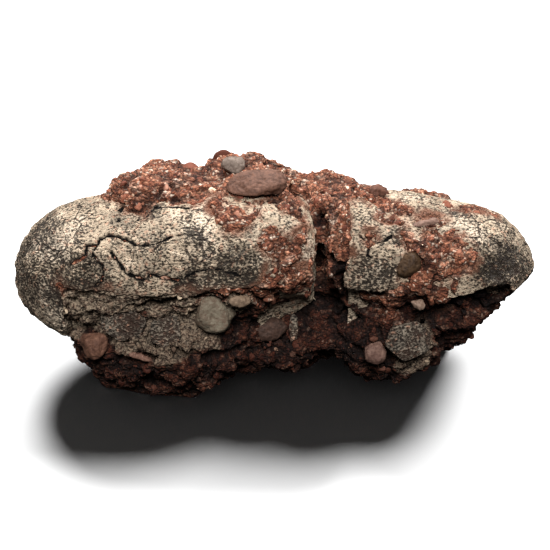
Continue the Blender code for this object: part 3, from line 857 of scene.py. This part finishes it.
def make_rock(rock_tree):
    """One skin over the matrix and both eggs. It dips under the bare shell, is cleft and rough where
    the rock is open, is darkened low down, partly a stain and partly painted shade, and has painted
    shade in its clefts."""
    obj = copy_of_nodes("conglomerate", "matrix", *EGGS)
    remesh(obj, ROCK_VOXEL, ROCK_SMOOTHING)
    keep_largest(obj)
    points = points_of(obj)
    edge = rock_edge(points, rock_tree, [egg.tree for egg in EGGS.values()])
    bare_shell = step(edge, *BARE_SHELL)
    off_floor = step(points[:, 2], *NEAR_FLOOR)
    low = 1 - step(points[:, 2], *LOW_ROCK)
    cleft = cleft_depth(points)
    crushed = crushed_shell(points)
    store(obj, "relief", (1 - 0.85 * bare_shell) * off_floor * (1 + LOW_RELIEF * low))
    open_rock = (1 - step(edge, *OPEN_ROCK)) * off_floor
    store(obj, "grit", open_rock * (1 - step(cleft, *NO_GRIT_DEPTH)))
    cleft = cleft * (1 - bare_shell)
    push(obj, -ROCK_UNDER_SHELL * bare_shell - cleft)
    store(obj, "crushed", crushed)
    # Low rock darkened, partly a stain and partly painted shade; clefts darkened as painted shade.
    stain_and_painted_shade = LOW_DARKNESS * low * (1 - 0.5 * crushed)
    store(obj, "dark", np.maximum(step(cleft, *DARK_DEPTH), stain_and_painted_shade))
    wave_shelf(obj, points)
    weather(obj, ROCK, 1, swell=(17, 5.0), pebble=(7.5, 2.6), grain=(3.0, 1.1), pit=(8, 3.0))
    return obj


# How far back the pebbles behind start, and where they are at their thickest.
BEHIND = (27 * MM, 38 * MM)


def scatter(rock, name, **values):
    """Loose grains on the rock, as a piece of their own. Smallest, Largest and Jagged are in mm."""
    obj = object_of(rock.data.copy(), name)
    for length in ("Smallest", "Largest", "Jagged"):
        values[length] *= MM
    run_tree(obj, GRIT, {"Material": GRAINS} | values)
    return obj


def keep_grit_behind(rock):
    """Clears the grit attribute everywhere but at the back of the rock."""
    wanted = np.empty(len(rock.data.vertices), np.float32)
    rock.data.attributes["grit"].data.foreach_get("value", wanted)
    behind = wanted * step(points_of(rock)[:, 1], *BEHIND)
    rock.data.attributes["grit"].data.foreach_set("value", behind.astype(np.float32))


COBBLE_VOXEL = 0.55 * MM
COBBLE_SMOOTHING = 5
PLATE_SMOOTHING = 4
PLATE_WEAR = {"relief": 1.0, "crack": 0.0, "soil": 0.1, "patina": 0.6}

# Each worn stone's node, its three tones and the size of its mottling in mm.
Cobble = namedtuple("Cobble", "node light middle dark grain")
COBBLES = (
    Cobble("top_cobble", "#6C4D3F", "#533A2F", "#39271F", 6),
    Cobble("grey_pebble", "#82746A", "#675A51", "#4E4139", 5),
    Cobble("slate_sliver", "#84685C", "#6C5449", "#54413A", 8),
    Cobble("olive_pebble", "#4A3623", "#322316", "#20150D", 5),
    Cobble("green_cobble", "#726A5B", "#5A5043", "#4F382D", 12),
    Cobble("oval_pebble", "#8C7763", "#6A5848", "#4C3D32", 5),
    # pink_cobble's tones are darker than its own colour: painted shade for its low place on the rock.
    Cobble("pink_cobble", "#6F5040", "#52382C", "#38231B", 6),
    Cobble("dark_pebble", "#4C382F", "#35261F", "#211712", 5),
    Cobble("rod_chip", "#7C6052", "#5E4338", "#432F27", 4),
    Cobble("low_pebble", "#71594D", "#574038", "#3C2A24", 5),
    Cobble("pale_pebble", "#8E7869", "#725D50", "#544134", 4),
    Cobble("brown_pebble", "#6C493C", "#53362B", "#3A241C", 4),
)
PLATES = ("shell_plate_left", "shell_plate_middle", "shell_plate_edge", "shell_plate_right")


def make_cobble(cobble, seed):
    """One worn stone in the rock."""
    obj = copy_of_nodes(cobble.node + "_stone", cobble.node)
    remesh(obj, COBBLE_VOXEL, COBBLE_SMOOTHING)
    store(obj, "relief", np.ones(len(obj.data.vertices)))
    stone = cobble_material("worn_" + cobble.node, cobble.light, cobble.middle, cobble.dark, cobble.grain)
    weather(obj, stone, seed, swell=(9, 1.4), pebble=(4, 0.45), grain=(1.6, 0.2), pit=(5, 0.8))
    finish_piece(obj, cobble.node, slot=SLOTS[cobble.node])


def make_plate(name, seed):
    """One broken plate of eggshell in the rock."""
    obj = copy_of_nodes(name + "_shell", name)
    remesh(obj, COBBLE_VOXEL, PLATE_SMOOTHING)
    for attribute, value in PLATE_WEAR.items():
        store(obj, attribute, value * np.ones(len(obj.data.vertices)))
    weather(obj, DARK_SHELL, seed, swell=(12, 1.0), pebble=(4, 0.3), grain=(2, 0.25), pit=(5, 0.6))
    finish_piece(obj, name, slot=SLOTS[name])


FIRST_COBBLE_SEED = 20
FIRST_PLATE_SEED = 40


def make_specimen():
    """Both eggs, the rock with its grit and pebbles, the worn stones and the shell plates."""
    guide = copy_of_nodes("rock_guide", "matrix")
    rock_tree = BVHTree.FromObject(guide, bpy.context.evaluated_depsgraph_get())
    bpy.data.objects.remove(guide)
    for egg in EGGS.values():
        make_egg(egg, rock_tree)
    rock = make_rock(rock_tree)
    fine = scatter(rock, "fine_grit", Density=60000.0, Smallest=0.6, Largest=2.8, Rarity=2.4,
                   Sink=-0.3, Jagged=1.4, Facets=1, Seed=11)
    coarse = scatter(rock, "coarse_grit", Density=9000.0, Smallest=2.2, Largest=6.2, Rarity=2.6,
                     Sink=-0.34, Jagged=3.0, Facets=2, Seed=12)
    keep_grit_behind(rock)
    pebbles = scatter(rock, "back_pebbles", Density=1500.0, Smallest=6.0, Largest=17.0, Rarity=1.8,
                      Sink=-0.3, Jagged=4.5, Facets=4, Seed=15)
    pebbles.data.shade_smooth()
    finish_piece(rock, "matrix", slot=SLOTS["matrix"])
    for piece in (fine, coarse, pebbles):
        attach(piece, "root")
    for i, cobble in enumerate(COBBLES):
        make_cobble(cobble, i + FIRST_COBBLE_SEED)
    for i, name in enumerate(PLATES):
        make_plate(name, i + FIRST_PLATE_SEED)


# The studio

# The camera's angle below level in degrees, its distance, and the point it looks at.
CAMERA_DOWN = 40
CAMERA_AWAY = 0.727
CAMERA_AIM = Vector((MIDDLE.x, MIDDLE.y + 5.2 * MM, 42.4 * MM))


def look_at(obj, target):
    obj.rotation_euler = (target - obj.location).to_track_quat("-Z", "Y").to_euler()


def make_camera():
    """Long lens, looking along +Y and down."""
    camera = bpy.data.objects.new("camera", bpy.data.cameras.new("camera"))
    bpy.context.scene.collection.objects.link(camera)
    camera.data.lens = 85
    camera.data.sensor_width = 36
    down = math.radians(CAMERA_DOWN)
    camera.location = CAMERA_AIM + Vector((0, -math.cos(down), math.sin(down))) * CAMERA_AWAY
    look_at(camera, CAMERA_AIM)
    bpy.context.scene.camera = camera


def make_sun(name, elevation, azimuth, strength, softness):
    """A soft lamp that shines from that height and side. Azimuth 0 is behind, 90 at the right."""
    lamp = bpy.data.objects.new(name, bpy.data.lights.new(name, "SUN"))
    bpy.context.scene.collection.objects.link(lamp)
    up = math.radians(elevation)
    turn = math.radians(azimuth)
    lamp.location = Vector((math.sin(turn) * math.cos(up), math.cos(turn) * math.cos(up), math.sin(up)))
    look_at(lamp, Vector((0, 0, 0)))
    lamp.data.energy = strength
    lamp.data.angle = math.radians(softness)
    return lamp


# Each lamp's elevation, azimuth, strength and softness, with what it lights in its name.
LAMPS = (
    ("back_right_on_specimen", 43, 24, 3.9, 18),
    ("back_left_on_specimen", 47, -18, 3.8, 18),
    ("overhead_fill_on_specimen", 61, 180, 5.5, 24),
    ("back_right_on_paper", 41, 46, 5.4, 16),
    ("back_left_on_paper", 41, -14, 5.4, 16),
)


def share_light():
    """Gives each lamp's collection its objects: the paper is lit brighter than the specimen."""
    for group in bpy.data.collections:
        for obj in bpy.context.scene.objects:
            wanted = "_on_paper" if obj.name == "floor" else "_on_specimen"
            if obj.type == "MESH" and group.name.endswith(wanted):
                group.objects.link(obj)


# How bright the backdrop is as a lamp and to the camera, and how far the paper reaches each way.
ROOM_LIGHT = 0.03
BACKDROP = 0.9
FLOOR_REACH = 3.0


def make_room():
    """A pale backdrop that gives only a faint light of its own."""
    scene = bpy.context.scene
    scene.view_settings.view_transform = "Standard"
    world = bpy.data.worlds.new("studio")
    scene.world = world
    world.use_nodes = True
    tree = world.node_tree
    tree.nodes.clear()
    seen = node(tree, "ShaderNodeLightPath").outputs["Is Camera Ray"]
    strength = node(tree, "ShaderNodeMapRange", {"Value": seen, "To Min": ROOM_LIGHT, "To Max": BACKDROP})
    background = node(tree, "ShaderNodeBackground",
                      {"Color": (1.0, 1.0, 1.0, 1.0), "Strength": strength})
    node(tree, "ShaderNodeOutputWorld", {"Surface": background})


def white_paper():
    """Smooth matt paper: one even white that takes a clean shadow."""
    made, tree, _ = start_material("white_paper_smooth")
    shader = node(tree, "ShaderNodeBsdfPrincipled", {"Base Color": linear("#F4F4F4"), "Roughness": 0.9})
    node(tree, "ShaderNodeOutputMaterial", {"Surface": shader})
    return made


def make_floor():
    """The paper. It throws no light back on the specimen, so the hollows stay dark."""
    bm = bmesh.new()
    bmesh.ops.create_grid(bm, x_segments=1, y_segments=1, size=FLOOR_REACH)
    mesh = bpy.data.meshes.new("floor")
    bm.to_mesh(mesh)
    bm.free()
    mesh.materials.append(white_paper())
    floor = object_of(mesh, "floor")
    floor.visible_diffuse = False
    floor.visible_glossy = False


def make_studio():
    make_room()
    for name, elevation, azimuth, strength, softness in LAMPS:
        lamp = make_sun(name, elevation, azimuth, strength, softness)
        lamp.light_linking.receiver_collection = bpy.data.collections.new(name)
    make_camera()
    make_floor()


make_studio()
make_specimen()
share_light()
